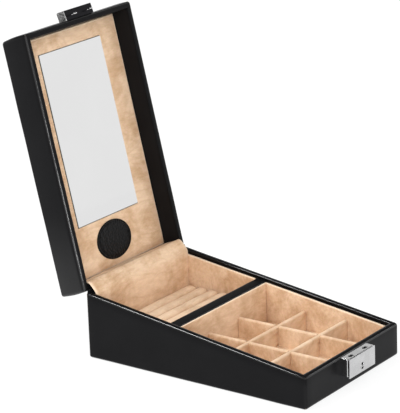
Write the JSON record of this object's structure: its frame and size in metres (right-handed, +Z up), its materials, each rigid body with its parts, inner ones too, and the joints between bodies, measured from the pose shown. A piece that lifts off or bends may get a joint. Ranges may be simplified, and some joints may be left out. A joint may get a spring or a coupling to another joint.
{
  "type": "ring display box",
  "caption": "Black leather ring and jewellery box with a sloping base, tan suede cells, a bay of ring rolls, a mirror in the open lid, and a press-down lock.",
  "frame": {"origin": "centre of the flat underside, on the surface it stands on", "axes": "+Z up, -Y towards the lock at the front, +Y towards the hinge, +X to the right seen from the front"},
  "size_m": [0.116, 0.2507, 0.2334],
  "materials": {
    "leather_black": "smooth, fine grain",
    "suede_tan": "matt suede with light cut edges",
    "board": "raw fibreboard",
    "foam": "open foam",
    "mirror": "polished",
    "nickel": "plated, satin",
    "black_chrome": "plated, dark",
    "spring_steel": "rolled",
    "underside_cloth": "flat black cloth"
  },
  "bodies": {
    "base": {"base_floor_board": "board", "base_front_board": "board", "base_back_board": "board", "base_left_board": "board", "base_right_board": "board", "base_leather": "leather_black", "base_underside_sheet": "underside_cloth", "partition_board": "board", "partition_rail": "board", "partition_leather": "leather_black", "ring_bay_left_lining": "suede_tan", "ring_bay_right_lining": "suede_tan", "ring_bay_front_lining": "suede_tan", "ring_bay_back_card": "suede_tan", "ring_bay_floor_card": "suede_tan", "ring_pad_block": "foam", "ring_roll_1": "suede_tan", "ring_roll_2": "suede_tan", "ring_roll_3": "suede_tan", "ring_roll_4": "suede_tan", "ring_roll_5": "suede_tan", "ring_roll_6": "suede_tan", "front_bay_front_lining": "suede_tan", "front_bay_rear_lining": "suede_tan", "front_bay_left_lining": "suede_tan", "front_bay_right_lining": "suede_tan", "front_bay_floor_card": "suede_tan", "divider_left": "suede_tan", "divider_right": "suede_tan", "divider_front": "suede_tan", "divider_rear": "suede_tan", "hinge_lining_base": "suede_tan", "hinge_lining_fold": "suede_tan", "hinge_spine": "leather_black", "lock_case": "nickel", "lock_spring": "spring_steel", "lock_rivets": "nickel"},
    "lid": {"lid_top_board": "board", "lid_front_board": "board", "lid_back_board": "board", "lid_left_board": "board", "lid_right_board": "board", "lid_foam": "foam", "lid_leather": "leather_black", "lid_lining_panel": "suede_tan", "lid_mirror": "mirror", "lid_patch": "leather_black", "hasp_block": "black_chrome", "hasp_hooks": "nickel", "hasp_rivets": "nickel", "hinge_lining_lid": "suede_tan"},
    "lock_cover": {"lock_cover": "nickel", "lock_catch": "nickel"},
    "key_barrel": {"lock_key_barrel": "nickel"}
  },
  "joints": [
    {"name": "lid_hinge", "type": "hinge", "parent": "base", "child": "lid", "pos_m": [0, 0.09015, 0.0487], "axis": [1, 0, 0], "range_deg": [0, 110.7], "deforming": ["hinge_lining_fold"]},
    {"name": "cover_slide", "type": "slide", "parent": "base", "child": "lock_cover", "axis": [0, 0, -1], "range_m": [0, 0.0025], "stiffness_N_per_m": 400, "springref_m": -0.001, "deforming": ["lock_spring"]},
    {"name": "key_turn", "type": "hinge", "parent": "lock_cover", "child": "key_barrel", "pos_m": [0, -0.0973, 0.0133], "axis": [0, 1, 0], "range_deg": [0, 90]}
  ]
}
